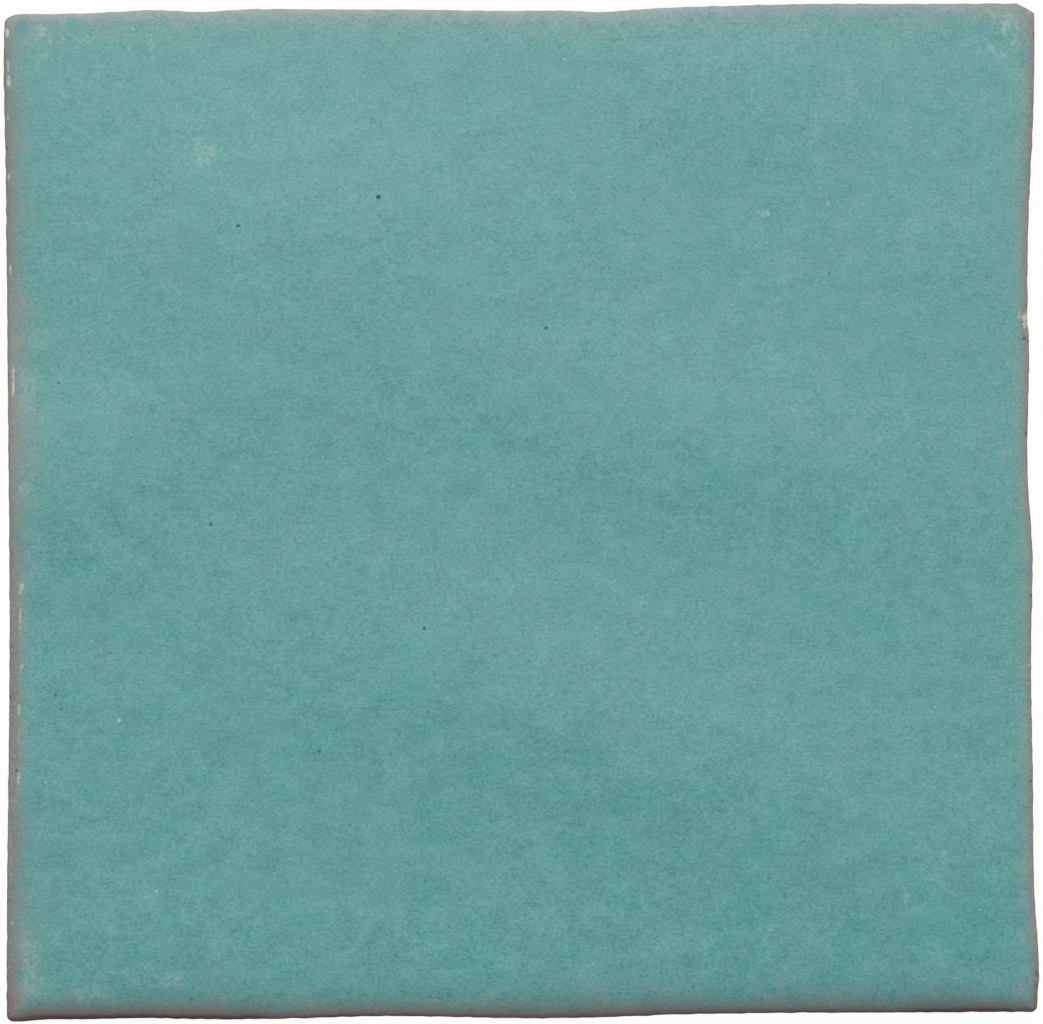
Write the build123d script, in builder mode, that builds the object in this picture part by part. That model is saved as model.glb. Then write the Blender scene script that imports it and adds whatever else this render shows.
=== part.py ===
"""A zellige tile: one hand-cut square of fired clay with a glazed face, lying on its back.

The origin is on the floor under the middle of the tile. +Z is out of the glazed face, and +Y is the top
side as the face is looked at. Sizes are in millimetres, and angles in degrees.
"""

import os
from math import cos, exp, radians, sin, tan
from typing import NamedTuple

from build123d import *


class Roll(NamedTuple):
    """A low ridge that the smoothing hand left across the face: a bell along and across its heading."""

    x: float
    y: float
    heading: float
    half_length: float
    half_width: float
    rise: float


# The tile between the mean lines of its hand-cut sides, and from its back to its face
FACE_WIDTH = 100.0
FACE_LENGTH = 98.5
THICKNESS = 11.0

# The sides lean in towards the back, which has a small bevel. The glaze rounds the face's arris.
SIDE_LEAN = 4.5
BACK_BEVEL = 0.5
ARRIS_RADIUS = 1.0

# How much rounder than the arris each corner is
TOP_LEFT_EASE = 0.3
TOP_RIGHT_EASE = 0.9
BOTTOM_RIGHT_EASE = 0.1
BOTTOM_LEFT_EASE = 0.2

# Where the knife strayed from each side's mean line: the share of the way along, and how far outwards.
# The sides follow each other clockwise from the top left corner, as the face is looked at.
TOP_SIDE = (
    (0.0, -0.52),
    (0.10, -0.25),
    (0.18, -0.17),
    (0.24, 0.04),
    (0.42, -0.04),
    (0.50, -0.14),
    (0.585, -0.22),
    (0.68, 0.24),
    (0.77, 0.48),
    (0.92, 0.50),
    (1.0, 0.57),
)
RIGHT_SIDE = (
    (0.0, 0.20),
    (0.09, 0.22),
    (0.21, -0.33),
    (0.30, -0.40),
    (0.33, -0.24),
    (0.48, -0.34),
    (0.54, 0.05),
    (0.62, -0.02),
    (0.78, 0.16),
    (0.90, 0.36),
    (0.95, 0.66),
    (1.0, 0.52),
)
BOTTOM_SIDE = (
    (0.0, -0.23),
    (0.20, -0.13),
    (0.35, 0.10),
    (0.48, 0.45),
    (0.63, 0.25),
    (0.78, 0.55),
    (0.90, 0.47),
    (0.965, 0.53),
    (0.985, 0.76),
    (1.0, 0.80),
)
LEFT_SIDE = (
    (0.0, 0.44),
    (0.12, 0.44),
    (0.40, 0.15),
    (0.63, 0.34),
    (0.82, 0.54),
    (0.94, 0.70),
    (1.0, 0.60),
)

# The rolls of the hand-smoothed face, the broad ones first
ROLLS = (
    Roll(x=-20.0, y=26.0, heading=-5.0, half_length=22.0, half_width=13.0, rise=0.40),
    Roll(x=18.0, y=7.0, heading=-13.0, half_length=26.0, half_width=8.0, rise=0.33),
    Roll(x=11.0, y=-23.0, heading=-21.0, half_length=32.0, half_width=10.0, rise=0.50),
    Roll(x=-46.0, y=4.0, heading=8.0, half_length=13.0, half_width=8.0, rise=0.35),
    Roll(x=21.0, y=42.0, heading=-16.0, half_length=12.0, half_width=8.0, rise=0.23),
    Roll(x=40.0, y=25.0, heading=0.0, half_length=8.0, half_width=7.0, rise=0.13),
    Roll(x=-27.0, y=10.5, heading=10.0, half_length=8.0, half_width=7.0, rise=0.16),
    Roll(x=0.0, y=-42.0, heading=0.0, half_length=25.0, half_width=7.0, rise=0.12),
    Roll(x=-38.0, y=-42.0, heading=0.0, half_length=12.0, half_width=7.0, rise=0.16),
    Roll(x=41.0, y=-36.0, heading=0.0, half_length=7.0, half_width=8.0, rise=0.16),
    Roll(x=-49.0, y=43.0, heading=0.0, half_length=6.0, half_width=14.0, rise=0.29),
)

# How many steps each way the face's surface is drawn through
FACE_STEPS = 24


def face_height(x, y):
    """How high the glazed face is at x, y: the tile's thickness and what each roll adds to it."""
    height = THICKNESS
    for roll in ROLLS:
        turn = radians(roll.heading)
        along = (x - roll.x) * cos(turn) + (y - roll.y) * sin(turn)
        across = (y - roll.y) * cos(turn) - (x - roll.x) * sin(turn)
        height += roll.rise * exp(-((along / roll.half_length) ** 2) - (across / roll.half_width) ** 2)
    return height


def rolling_face(half_width, half_length):
    """The glazed face as one smooth surface, over a rectangle that reaches past the sides."""
    shares = [2 * step / FACE_STEPS - 1 for step in range(FACE_STEPS + 1)]
    columns = [[(u * half_width, v * half_length) for v in shares] for u in shares]
    return Face.make_surface_from_array_of_points(
        [[(x, y, face_height(x, y)) for x, y in column] for column in columns]
    )


def between(start, end, share):
    """The value that lies the given share of the way from start to end."""
    return start + share * (end - start)


def hand_cut_sides(inset):
    """The points of the four sides, drawn in by inset. Each side starts where the one before it ends."""
    x, y = FACE_WIDTH / 2 - inset, FACE_LENGTH / 2 - inset
    left_x, right_x = -x - LEFT_SIDE[-1][1], x + RIGHT_SIDE[0][1]
    top = [(between(left_x, right_x, share), y + out) for share, out in TOP_SIDE]
    left_x, right_x = -x - LEFT_SIDE[0][1], x + RIGHT_SIDE[-1][1]
    bottom = [(between(right_x, left_x, share), -y - out) for share, out in BOTTOM_SIDE]
    right = [(x + out, between(top[-1][1], bottom[0][1], share)) for share, out in RIGHT_SIDE]
    left = [(-x - out, between(bottom[-1][1], top[0][1], share)) for share, out in LEFT_SIDE]
    return top, right, bottom, left


# The blank stands higher and the rolling face reaches wider than the tile, so that the one trims the other
widest_height = THICKNESS - ARRIS_RADIUS
blank_height = THICKNESS + ARRIS_RADIUS + sum(roll.rise for roll in ROLLS)
face = rolling_face(FACE_WIDTH / 2 + THICKNESS, FACE_LENGTH / 2 + THICKNESS)

with BuildPart() as tile:
    for height in (0, blank_height):
        inset = (widest_height - height) * tan(radians(SIDE_LEAN))
        with BuildSketch(Plane.XY.offset(height)):
            with BuildLine():
                for points in hand_cut_sides(inset):
                    Spline(*points)
            make_face()
    loft(ruled=True)

    uprights = tile.edges().filter_by(lambda edge: edge.bounding_box().size.Z > THICKNESS)
    bottom_left, bottom_right = uprights.sort_by(Axis.Y)[:2].sort_by(Axis.X)
    top_left, top_right = uprights.sort_by(Axis.Y)[2:].sort_by(Axis.X)
    fillet(top_left, ARRIS_RADIUS + TOP_LEFT_EASE)
    fillet(top_right, ARRIS_RADIUS + TOP_RIGHT_EASE)
    fillet(bottom_right, ARRIS_RADIUS + BOTTOM_RIGHT_EASE)
    fillet(bottom_left, ARRIS_RADIUS + BOTTOM_LEFT_EASE)

    split(bisect_by=face, keep=Keep.BOTTOM)
    fillet(tile.faces().sort_by(Axis.Z)[-1].edges(), ARRIS_RADIUS)
    chamfer(tile.faces().sort_by(Axis.Z)[0].edges(), BACK_BEVEL)

tile.part.label = "zellige_tile"
os.makedirs("parts", exist_ok=True)
export_step(tile.part, "parts/zellige_tile.step")
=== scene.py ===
"""A zellige tile: one hand-cut square of fired clay under a rolling sea-green glaze, lying on its back.

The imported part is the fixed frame, and one closed surface worked out here stands for it. Sizes are in
millimetres until they go into a mesh, which is in metres. The origin is on the floor under the middle of the
tile, +Z is out of the glazed face, and +Y is the top side as the camera looks down on it.
"""

from __future__ import annotations

import logging
import math
from dataclasses import dataclass
from enum import Enum
from functools import reduce
from typing import Any

import bpy
import numpy as np
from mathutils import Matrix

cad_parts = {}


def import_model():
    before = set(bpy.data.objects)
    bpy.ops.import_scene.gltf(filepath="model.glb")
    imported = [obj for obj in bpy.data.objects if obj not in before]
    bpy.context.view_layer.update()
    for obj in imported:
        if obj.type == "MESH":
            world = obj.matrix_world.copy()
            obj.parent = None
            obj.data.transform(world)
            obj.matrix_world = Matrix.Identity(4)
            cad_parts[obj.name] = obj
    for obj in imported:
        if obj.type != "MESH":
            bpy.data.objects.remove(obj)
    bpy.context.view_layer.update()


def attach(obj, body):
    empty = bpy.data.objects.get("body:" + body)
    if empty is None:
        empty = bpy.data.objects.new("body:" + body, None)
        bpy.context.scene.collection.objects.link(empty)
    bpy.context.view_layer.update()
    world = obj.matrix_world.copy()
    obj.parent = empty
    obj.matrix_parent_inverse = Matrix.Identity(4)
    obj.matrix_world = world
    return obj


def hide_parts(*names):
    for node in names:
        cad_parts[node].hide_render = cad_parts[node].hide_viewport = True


LOG = logging.getLogger("zellige_tile")
NODE = "zellige_tile"
BODY = "root"
METRES = 0.001
QUARTER_TURN = math.pi / 2
WHITE = (1.0, 1.0, 1.0, 1.0)

Colour = tuple[float, float, float]
Band = tuple[float, float]
PlanPoints = tuple[np.ndarray, np.ndarray]


class Side(Enum):
    """The four hand-cut sides, in the outline's order: anticlockwise from the bottom left corner."""

    BOTTOM = 0
    RIGHT = 1
    TOP = 2
    LEFT = 3


class Mark(Enum):
    """What a mark on the glaze is."""

    SPECK = "dark iron speck"
    DOT = "pale pinhole"
    SCUFF = "pale scuff"
    BLUE = "bluer pool of glaze"
    GREEN = "greener pool of glaze"


class Break(Enum):
    """What shows where the arris is chipped."""

    FLECK = "the glaze's pale broken edge"
    CREAM = "fresh clay"


@dataclass(frozen=True)
class RimRun:
    """A stretch of a side, from start to end along X or Y, that has its own bare, thin and tint."""

    start: float
    end: float
    bare: float
    thin: float
    tint: Colour
    ease: float = 2.0


@dataclass(frozen=True)
class HandCutSide:
    """One side of the tile, as the knife and the kiln left it.

    strays holds pairs: the share of the way along, clockwise as the face is looked at, and how far the cut
    lies outside the side's mean line there. rim is how wide the rounding of the arris is, drop how far it
    falls and power how square it is. bare is how far in from the widest line the clay has no glaze, or how
    far down the side the glaze runs where it is below 0. From there the glaze thickens from tint within the
    distance thin, the more suddenly the greater fade is. clay is the colour of the bare arris, and runs are
    the stretches whose rim differs. The top side's pale tint is partly painted light, and the bottom side's
    dark tint and clay are partly painted shade.
    """

    strays: tuple[tuple[float, float], ...]
    rim: float
    drop: float
    power: float
    bare: float
    thin: float
    fade: float
    tint: Colour
    clay: Colour
    runs: tuple[RimRun, ...]


@dataclass(frozen=True)
class Corner:
    """How a corner is blunted: which way it points, how far along X and Y that reaches, and how full it is.

    A power of 1 cuts it straight off, and 2 rounds it.
    """

    sign_x: int
    sign_y: int
    reach_x: float
    reach_y: float
    power: float


@dataclass(frozen=True)
class Roll:
    """A low ridge that the smoothing hand left across the face: a bell along and across its heading."""

    x: float
    y: float
    heading: float
    half_length: float
    half_width: float
    rise: float


@dataclass(frozen=True)
class Chip:
    """A place where the arris has broken away: its middle, half sizes, depth and how strongly it shows."""

    x: float
    y: float
    half_x: float
    half_y: float
    depth: float
    strength: float = 1.0


@dataclass(frozen=True)
class GlazeMark:
    """A mark in the glaze: its middle on the face, half sizes along X and Y, and how strongly it shows."""

    x: float
    y: float
    half_x: float
    half_y: float
    strength: float


@dataclass(frozen=True)
class Ripples:
    """Smooth seeded unevenness: sine waves of many lengths and headings, with a root mean square of height.

    upright is how many times shorter the waves are along Z.
    """

    seed: int
    shortest: float
    longest: float
    height: float = 1.0
    upright: float = 1.0
    waves: int = 48

    def over(self, *coordinates: np.ndarray) -> np.ndarray:
        """Works out the sum of sin(2 pi (d . p) / length + phase) at every point p, scaled to the height.

        Args:
            coordinates: One array for each axis, all of one shape.

        Returns:
            The unevenness at each point.
        """
        random = np.random.default_rng(self.seed)
        spread = random.uniform(math.log(self.shortest), math.log(self.longest), self.waves)
        heading = random.normal(size=(self.waves, len(coordinates)))
        heading /= np.linalg.norm(heading, axis=1, keepdims=True)
        phases = random.uniform(0, 2 * math.pi, self.waves)
        steps = heading * (2 * math.pi / np.exp(spread))[:, None]
        steps[:, 2:] *= self.upright
        total = np.zeros_like(coordinates[0])
        for step, phase in zip(steps, phases):
            total += np.sin(sum(k * axis for k, axis in zip(step, coordinates)) + phase)
        return self.height * math.sqrt(2 / self.waves) * total


def smooth_curve(knots: np.ndarray, values: np.ndarray, at: np.ndarray) -> np.ndarray:
    """A natural cubic spline: cubic pieces whose slope and bend run on through every knot.

    Args:
        knots: Where the values are given, in rising order.
        values: The value at each knot.
        at: Where the curve is wanted.

    Returns:
        The curve's value at each place.
    """
    gaps = np.diff(knots)
    slopes = np.diff(values) / gaps
    inner = np.arange(1, len(knots) - 1)
    system = np.eye(len(knots))
    system[inner, inner - 1] = gaps[:-1]
    system[inner, inner] = 2 * (gaps[:-1] + gaps[1:])
    system[inner, inner + 1] = gaps[1:]
    known = np.zeros(len(knots))
    known[inner] = 6 * np.diff(slopes)
    bends = np.linalg.solve(system, known)
    piece = np.clip(np.searchsorted(knots, at) - 1, 0, len(gaps) - 1)
    gap, start, end = gaps[piece], bends[piece], bends[piece + 1]
    step = at - knots[piece]
    lean = slopes[piece] - gap * (2 * start + end) / 6
    return values[piece] + step * (lean + step * (start / 2 + step * (end - start) / (6 * gap)))


def smooth_step(low: float, high: float, value: np.ndarray) -> np.ndarray:
    """Rises from 0 at low to 1 at high as 3 t t - 2 t t t."""
    share = np.clip((value - low) / (high - low), 0, 1)
    return share * share * (3 - 2 * share)


@dataclass(frozen=True)
class HandCutOutline:
    """The tile's plan: a rectangle with rounded corners, carried outwards by the strays of its four sides."""

    sides: dict[Side, HandCutSide]
    corners: tuple[Corner, ...]
    width: float = 100.0
    length: float = 98.5
    nicks: Ripples = Ripples(seed=11, shortest=0.9, longest=5.0, height=0.016)
    nick_reach: float = 8.0
    corner_blend: float = 2.0

    @property
    def half_x(self) -> float:
        """Half the width between the mean lines of the left and right sides."""
        return self.width / 2

    @property
    def half_y(self) -> float:
        """Half the length between the mean lines of the top and bottom sides."""
        return self.length / 2

    @staticmethod
    def spaced(cells: int) -> np.ndarray:
        """Steps from -1 to 1 that close up towards both ends, t (5 - t t) / 4, so that corners are smooth."""
        even = np.linspace(-1, 1, cells + 1)
        return even * (5 - even * even) / 4

    def unit_ring(self, cells: int) -> PlanPoints:
        """The border of the square from -1 to 1: 4 * cells points, anticlockwise from the bottom left."""
        run = self.spaced(cells)[:-1]
        edge = np.ones(cells)
        return np.concatenate([run, edge, -run, -edge]), np.concatenate([-edge, run, edge, -run])

    def grid(self, cells: int, inset: float) -> PlanPoints:
        """A grid of cells by cells over the plain rectangle, drawn in by inset."""
        run = self.spaced(cells)
        return tuple(np.meshgrid(run * (self.half_x - inset), run * (self.half_y - inset), indexing="ij"))

    def round_corners(self, x: np.ndarray, y: np.ndarray, drawn_in: np.ndarray) -> PlanPoints:
        """Blunts the corners, along rays, to (u / reach_x) ^ power + (v / reach_y) ^ power = 1.

        Args:
            x: X of points in the plain rectangle.
            y: Y of points in the plain rectangle.
            drawn_in: How far the rectangle's own sides lie inside the mean lines.

        Returns:
            The X and Y of the points inside the blunted rectangle.
        """
        x, y = x.copy(), y.copy()
        for corner in self.corners:
            centre_x = self.half_x - drawn_in - corner.reach_x
            centre_y = self.half_y - drawn_in - corner.reach_y
            u = (corner.sign_x * x - centre_x) / corner.reach_x
            v = (corner.sign_y * y - centre_y) / corner.reach_y
            inside = (u > 0) & (v > 0)
            u_in, v_in = np.where(inside, u, 1), np.where(inside, v, 1)
            squash = np.maximum(u_in, v_in) / (u_in**corner.power + v_in**corner.power) ** (1 / corner.power)
            x = np.where(inside, corner.sign_x * (centre_x + corner.reach_x * u * squash), x)
            y = np.where(inside, corner.sign_y * (centre_y + corner.reach_y * v * squash), y)
        return x, y

    def stray(self, side: Side, share: np.ndarray) -> np.ndarray:
        """How far a side's cut lies outside its mean line, at shares of the way along it."""
        knots, values = np.array(self.sides[side].strays).T
        return smooth_curve(knots, values, np.clip(share, 0, 1))

    def carry(self, x: np.ndarray, y: np.ndarray, drawn_in: np.ndarray | float = 0.0) -> PlanPoints:
        """Carries points of the plain rectangle to the hand-cut outline.

        Each point moves by the stray of every side, times a ramp that is 1 on that side and 0 on the one
        across from it. Small nicks are added the same way, with a ramp that dies out close to the side.

        Args:
            x: X of points in the plain rectangle.
            y: Y of points in the plain rectangle.
            drawn_in: How far the rectangle's own sides lie inside the mean lines.

        Returns:
            The X and Y of the points in the tile's plan.
        """
        drawn_in = np.broadcast_to(drawn_in, x.shape)
        x, y = self.round_corners(x, y, drawn_in)
        across = x / (self.half_x - drawn_in)
        up = y / (self.half_y - drawn_in)
        ways = (
            (Side.TOP, (1 + across) / 2, up, x),
            (Side.BOTTOM, (1 - across) / 2, -up, x),
            (Side.RIGHT, (1 - up) / 2, across, y),
            (Side.LEFT, (1 + up) / 2, -across, y),
        )
        moves = {}
        for row, (side, along, towards, run) in enumerate(ways, start=1):
            ramp = np.clip((1 + towards) / 2, 0, 1)
            near = np.exp((np.minimum(towards, 1) - 1) * self.half_x / self.nick_reach)
            ragged = self.nicks.over(run, np.full_like(run, row * self.width))
            moves[side] = self.stray(side, along) * ramp + ragged * near
        return (
            x + moves[Side.RIGHT] - moves[Side.LEFT],
            y + moves[Side.TOP] - moves[Side.BOTTOM],
        )

    def distances(self, x: np.ndarray, y: np.ndarray) -> dict[Side, np.ndarray]:
        """How far places in the plain rectangle are from each of its sides."""
        return {
            Side.BOTTOM: y + self.half_y,
            Side.RIGHT: self.half_x - x,
            Side.TOP: self.half_y - y,
            Side.LEFT: x + self.half_x,
        }

    def nearness(self, x: np.ndarray, y: np.ndarray) -> dict[Side, np.ndarray]:
        """How much of each side a place belongs to: exp(-distance / corner_blend), made to sum to 1."""
        distances = self.distances(x, y)
        least = np.minimum.reduce(list(distances.values()))
        weights = {side: np.exp((least - gap) / self.corner_blend) for side, gap in distances.items()}
        total = sum(weights.values())
        return {side: weight / total for side, weight in weights.items()}


SIDES: dict[Side, HandCutSide] = {
    Side.TOP: HandCutSide(
        strays=(
            (0.0, -0.55), (0.10, -0.31), (0.155, -0.12), (0.19, -0.29), (0.225, -0.09),
            (0.28, -0.02), (0.42, -0.09), (0.50, -0.18), (0.55, -0.18), (0.58, -0.28),
            (0.605, -0.12), (0.68, 0.24), (0.77, 0.48), (0.92, 0.50), (1.0, 0.57),
        ),
        rim=1.2,
        drop=0.32,
        power=2.6,
        bare=-0.9,
        thin=1.1,
        fade=0.92,
        # The top side's pale tint is partly thin glaze over the clay and partly painted light: the sheen of
        # the lit top edge.
        tint=(0.345, 0.362, 0.366),
        clay=(0.27, 0.25, 0.225),
        runs=(
            # The runs along the top keep a paler tint too, partly painted light on the lit top edge.
            RimRun(start=20.0, end=43.0, bare=-0.9, thin=1.05, tint=(0.295, 0.325, 0.325)),
            RimRun(start=43.0, end=53.0, bare=-0.3, thin=1.1, tint=(0.30, 0.305, 0.29)),
        ),
    ),
    Side.RIGHT: HandCutSide(
        strays=(
            (0.0, 0.20), (0.09, 0.18), (0.21, -0.34), (0.30, -0.40), (0.33, -0.30),
            (0.48, -0.38), (0.54, 0.02), (0.62, -0.08), (0.78, 0.10), (0.90, 0.33),
            (0.95, 0.66), (1.0, 0.52),
        ),
        rim=0.8,
        drop=0.4,
        power=2.6,
        bare=0.3,
        thin=0.5,
        fade=0.85,
        tint=(0.25, 0.23, 0.205),
        clay=(0.278, 0.262, 0.235),
        runs=(
            RimRun(start=-26.0, end=17.0, bare=0.3, thin=0.52, tint=(0.255, 0.256, 0.233)),
            RimRun(start=18.0, end=50.0, bare=0.28, thin=0.55, tint=(0.265, 0.24, 0.225)),
        ),
    ),
    Side.BOTTOM: HandCutSide(
        strays=(
            (0.0, -0.22), (0.10, -0.12), (0.20, -0.10), (0.35, 0.10), (0.48, 0.45),
            (0.63, 0.25), (0.72, 0.46), (0.80, 0.55), (0.88, 0.44), (0.93, 0.55),
            (0.965, 0.59), (0.985, 0.72), (1.0, 0.78),
        ),
        rim=4.2,
        drop=1.8,
        power=2.8,
        bare=0.1,
        thin=1.2,
        fade=1.0,
        # The bottom side's dark maroon tint and its much darker clay are partly the clay's own colour and
        # partly painted shade on the edge that faces away from the lamp.
        tint=(0.25, 0.152, 0.148),
        clay=(0.128, 0.084, 0.08),
        runs=(
            # The dark tints of the runs along the bottom hold the same painted shade over the maroon clay.
            RimRun(start=-53.0, end=-35.0, bare=0.42, thin=0.93, tint=(0.25, 0.13, 0.124)),
            RimRun(start=-35.0, end=-24.0, bare=0.38, thin=1.12, tint=(0.24, 0.136, 0.13)),
            RimRun(start=-24.0, end=-3.0, bare=0.16, thin=0.85, tint=(0.295, 0.18, 0.175)),
            RimRun(start=18.0, end=38.0, bare=0.12, thin=1.08, tint=(0.225, 0.165, 0.162)),
            RimRun(start=38.0, end=53.0, bare=0.35, thin=1.1, tint=(0.172, 0.138, 0.134)),
        ),
    ),
    Side.LEFT: HandCutSide(
        strays=(
            (0.0, 0.44), (0.12, 0.38), (0.40, 0.13), (0.63, 0.29), (0.82, 0.48),
            (0.90, 0.60), (0.95, 0.69), (1.0, 0.60),
        ),
        rim=0.9,
        drop=0.4,
        power=2.6,
        bare=0.2,
        thin=1.2,
        fade=1.15,
        tint=(0.215, 0.225, 0.205),
        clay=(0.222, 0.226, 0.21),
        runs=(
            RimRun(start=23.0, end=47.0, bare=0.2, thin=1.2, tint=(0.222, 0.226, 0.206)),
            RimRun(start=1.0, end=22.0, bare=0.1, thin=1.5, tint=(0.26, 0.25, 0.23)),
            RimRun(start=-28.0, end=-5.0, bare=0.9, thin=0.75, tint=(0.20, 0.275, 0.26)),
            RimRun(start=-47.0, end=-29.0, bare=0.4, thin=1.3, tint=(0.2, 0.206, 0.196)),
            RimRun(start=-53.0, end=-46.5, bare=0.5, thin=1.4, tint=(0.225, 0.178, 0.168)),
        ),
    ),
}

CORNERS: tuple[Corner, ...] = (
    Corner(sign_x=-1, sign_y=-1, reach_x=0.55, reach_y=0.5, power=1.5),
    Corner(sign_x=1, sign_y=-1, reach_x=0.45, reach_y=0.45, power=1.25),
    Corner(sign_x=1, sign_y=1, reach_x=1.8, reach_y=1.0, power=1.12),
    Corner(sign_x=-1, sign_y=1, reach_x=1.25, reach_y=0.8, power=1.6),
)

ROLLS: tuple[Roll, ...] = (
    Roll(x=-20.0, y=26.0, heading=-5.0, half_length=22.0, half_width=13.0, rise=0.40),
    Roll(x=18.0, y=7.0, heading=-13.0, half_length=26.0, half_width=8.0, rise=0.33),
    Roll(x=11.0, y=-23.0, heading=-21.0, half_length=32.0, half_width=10.0, rise=0.50),
    Roll(x=-46.0, y=4.0, heading=8.0, half_length=13.0, half_width=8.0, rise=0.35),
    Roll(x=21.0, y=42.0, heading=-16.0, half_length=12.0, half_width=8.0, rise=0.23),
    Roll(x=40.0, y=25.0, heading=0.0, half_length=8.0, half_width=7.0, rise=0.13),
    Roll(x=-27.0, y=10.5, heading=10.0, half_length=8.0, half_width=7.0, rise=0.16),
    Roll(x=0.0, y=-42.0, heading=0.0, half_length=25.0, half_width=7.0, rise=0.12),
    Roll(x=-38.0, y=-42.0, heading=0.0, half_length=12.0, half_width=7.0, rise=0.16),
    Roll(x=41.0, y=-36.0, heading=0.0, half_length=7.0, half_width=8.0, rise=0.16),
    Roll(x=-49.0, y=43.0, heading=0.0, half_length=6.0, half_width=14.0, rise=0.29),
)

CHIPS: dict[Break, tuple[Chip, ...]] = {
    Break.CREAM: (
        Chip(49.35, 18.9, 0.4, 0.95, depth=0.3),
        Chip(-49.78, 12.2, 0.16, 1.0, depth=0.08),
        Chip(-50.35, 46.9, 0.24, 0.5, depth=0.1),
    ),
    Break.FLECK: (
        Chip(48.85, 19.2, 0.35, 0.8, depth=0.03, strength=0.6),
        Chip(49.65, 14.2, 0.1, 0.25, depth=0.08),
        Chip(49.7, 48.9, 0.22, 0.2, depth=0.04, strength=0.8),
        Chip(-48.95, -7.5, 0.36, 0.9, depth=0.04, strength=0.7),
        Chip(-49.1, -10.4, 0.12, 1.8, depth=0.03, strength=0.8),
        Chip(-48.95, -15.2, 0.25, 0.5, depth=0.04, strength=0.7),
        Chip(-49.2, -19.3, 0.15, 0.7, depth=0.04, strength=0.8),
        Chip(-49.3, -21.8, 0.1, 1.0, depth=0.04, strength=0.8),
        Chip(-49.25, -26.0, 0.17, 0.7, depth=0.04, strength=0.9),
        Chip(-49.9, -40.1, 0.22, 0.4, depth=0.03, strength=0.6),
        Chip(-49.95, -35.6, 0.2, 0.4, depth=0.04, strength=0.65),
        Chip(-48.95, 2.2, 0.35, 0.6, depth=0.02, strength=0.5),
        Chip(-49.75, 13.3, 0.16, 1.1, depth=0.06),
        Chip(-50.05, 23.7, 0.16, 0.5, depth=0.06),
        Chip(-50.25, 43.6, 0.2, 0.9, depth=0.08, strength=0.75),
        Chip(-50.2, 42.2, 0.24, 0.6, depth=0.1),
        Chip(-50.3, 38.6, 0.14, 0.4, depth=0.06),
        Chip(-50.2, 32.8, 0.14, 0.5, depth=0.06),
    ),
}

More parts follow.
